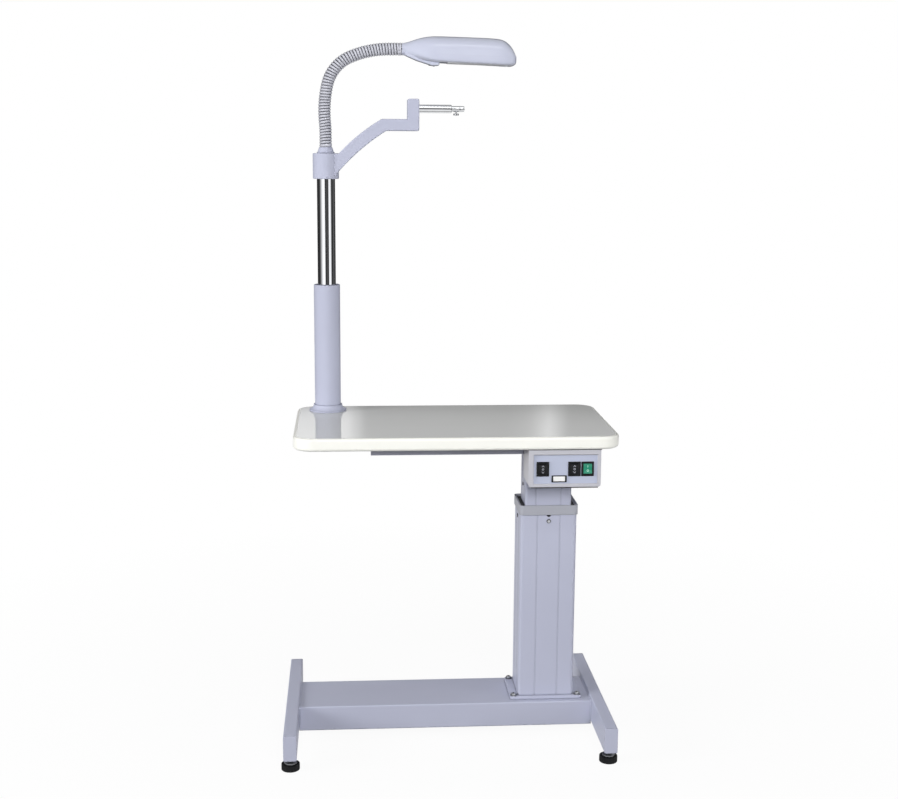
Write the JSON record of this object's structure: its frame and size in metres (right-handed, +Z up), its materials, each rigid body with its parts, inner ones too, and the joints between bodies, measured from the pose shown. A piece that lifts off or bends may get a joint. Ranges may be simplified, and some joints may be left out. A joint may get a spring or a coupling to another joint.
{
  "type": "ophthalmic combination table",
  "caption": "Instrument table on a telescopic lift column and H base, with a sliding post that carries a cranked phoropter arm and a gooseneck lamp.",
  "frame": {"origin": "on the floor, under the middle of the object's bounding box", "axes": "+X along the tabletop away from the post, +Y away from the switch panel, +Z up"},
  "size_m": [0.781, 0.524, 1.6582],
  "materials": {
    "painted_steel": "satin",
    "cap_plastic": "satin",
    "zinc_plated": "satin",
    "rubber": "matte",
    "black_plastic": "satin",
    "steel": "satin",
    "chrome_plate": "polished",
    "board": "matte",
    "laminate": "gloss",
    "edge_band": "gloss",
    "box_paint": "satin",
    "panel_film": "satin",
    "green_plastic": "gloss",
    "white_plastic": "gloss",
    "transformer_iron": "satin",
    "circuit_board": "satin",
    "lamp_plastic": "satin",
    "ribbed_sleeve": "satin",
    "opal_plastic": "matte",
    "lamp_glass": "gloss"
  },
  "bodies": {
    "base": {"left_rail": "painted_steel", "right_rail": "painted_steel", "cross_beam": "painted_steel", "rail_end_caps": "painted_steel", "foot_nuts": "zinc_plated", "column_flange": "painted_steel", "flange_bolts": "zinc_plated", "outer_column": "painted_steel", "column_cap": "cap_plastic", "column_screws": "zinc_plated", "upper_guide": "black_plastic", "lift_motor": "black_plastic", "drive_tube": "steel"},
    "foot_front_left": {"foot_pad_front_left": "rubber", "foot_stem_front_left": "zinc_plated"},
    "foot_front_right": {"foot_pad_front_right": "rubber", "foot_stem_front_right": "zinc_plated"},
    "foot_back_left": {"foot_pad_back_left": "rubber", "foot_stem_back_left": "zinc_plated"},
    "foot_back_right": {"foot_pad_back_right": "rubber", "foot_stem_back_right": "zinc_plated"},
    "spindle": {"lift_spindle": "steel"},
    "carriage": {"inner_column": "painted_steel", "lower_guide": "black_plastic", "column_top_plate": "painted_steel", "table_bracket": "painted_steel", "push_tube": "steel", "tabletop_core": "board", "tabletop_laminate": "laminate", "tabletop_edge": "edge_band", "table_screws": "zinc_plated", "box_shell": "box_paint", "box_covers": "black_plastic", "box_bezel": "box_paint", "switch_panel": "panel_film", "box_screws": "black_plastic", "switch_frames": "black_plastic", "window_frame": "black_plastic", "window_lens": "white_plastic", "transformer": "transformer_iron", "control_board": "circuit_board", "cable_gland": "black_plastic", "post_foot": "painted_steel", "post_outer_tube": "painted_steel", "post_bush": "black_plastic"},
    "left_key": {"left_rocker": "black_plastic"},
    "right_key": {"right_rocker": "black_plastic"},
    "power_key": {"power_rocker": "green_plastic"},
    "post": {"chrome_tube": "chrome_plate"},
    "arm": {"phoropter_arm": "painted_steel", "arm_pin": "chrome_plate"},
    "pin_screw": {"pin_lock_screw": "chrome_plate"},
    "lamp_stem": {"lamp_cone": "painted_steel", "gooseneck": "ribbed_sleeve"},
    "lamp_head": {"lamp_upper_shell": "lamp_plastic", "lamp_lower_shell": "lamp_plastic", "lamp_diffuser": "opal_plastic", "lamp_tube": "lamp_glass", "lamp_holder": "white_plastic"},
    "lamp_key": {"lamp_rocker": "black_plastic"}
  },
  "joints": [
    {"name": "column_lift", "type": "slide", "parent": "base", "child": "carriage", "axis": [0, 0, 1], "range_m": [-0.035, 0.165]},
    {"name": "spindle_spin", "type": "hinge", "parent": "base", "child": "spindle", "pos_m": [0.2605, 0, 0.26], "axis": [0, 0, 1], "range_deg": [-1300, 6000]},
    {"name": "post_slide", "type": "slide", "parent": "carriage", "child": "post", "axis": [0, 0, 1], "range_m": [-0.2, 0.04]},
    {"name": "arm_swing", "type": "hinge", "parent": "post", "child": "arm", "pos_m": [-0.2835, 0.205, 1.35], "axis": [0, 0, 1], "range_deg": [-110, 110]},
    {"name": "pin_screw_turn", "type": "hinge", "parent": "arm", "child": "pin_screw", "pos_m": [0.03166, 0.205, 1.477], "axis": [0, 0, 1], "continuous": true},
    {"name": "lamp_swivel", "type": "hinge", "parent": "post", "child": "lamp_stem", "pos_m": [-0.2835, 0.205, 1.383], "axis": [0, 0, 1], "range_deg": [-150, 150]},
    {"name": "gooseneck_bend", "type": "hinge", "parent": "lamp_stem", "child": "lamp_head", "pos_m": [-0.2495, 0.205, 1.591], "axis": [0, 1, 0], "range_deg": [-35, 15], "deforming": ["gooseneck"]},
    {"name": "left_key_tilt", "type": "hinge", "parent": "carriage", "child": "left_key", "pos_m": [0.2105, -0.1324, 0.673], "axis": [1, 0, 0], "range_deg": [-8, 8], "stiffness_Nm_per_rad": 0.1},
    {"name": "right_key_tilt", "type": "hinge", "parent": "carriage", "child": "right_key", "pos_m": [0.2835, -0.1324, 0.673], "axis": [1, 0, 0], "range_deg": [-8, 8], "stiffness_Nm_per_rad": 0.1},
    {"name": "power_key_tilt", "type": "hinge", "parent": "carriage", "child": "power_key", "pos_m": [0.314, -0.1324, 0.673], "axis": [1, 0, 0], "range_deg": [0, 16]},
    {"name": "lamp_key_tilt", "type": "hinge", "parent": "lamp_head", "child": "lamp_key", "pos_m": [-0.02816, 0.205, 1.59154], "axis": [0, 1, 0], "range_deg": [-16, 0]},
    {"name": "foot_turn_front_left", "type": "hinge", "parent": "base", "child": "foot_front_left", "pos_m": [-0.3695, -0.231, 0.02], "axis": [0, 0, 1], "range_deg": [-720, 720]},
    {"name": "foot_turn_front_right", "type": "hinge", "parent": "base", "child": "foot_front_right", "pos_m": [0.3625, -0.231, 0.02], "axis": [0, 0, 1], "range_deg": [-720, 720]},
    {"name": "foot_turn_back_left", "type": "hinge", "parent": "base", "child": "foot_back_left", "pos_m": [-0.3695, 0.187, 0.02], "axis": [0, 0, 1], "range_deg": [-720, 720]},
    {"name": "foot_turn_back_right", "type": "hinge", "parent": "base", "child": "foot_back_right", "pos_m": [0.3625, 0.187, 0.02], "axis": [0, 0, 1], "range_deg": [-720, 720]}
  ],
  "couplings": [
    {"joint": "spindle_spin", "follows": "column_lift", "rad_per_m": 628.32}
  ]
}
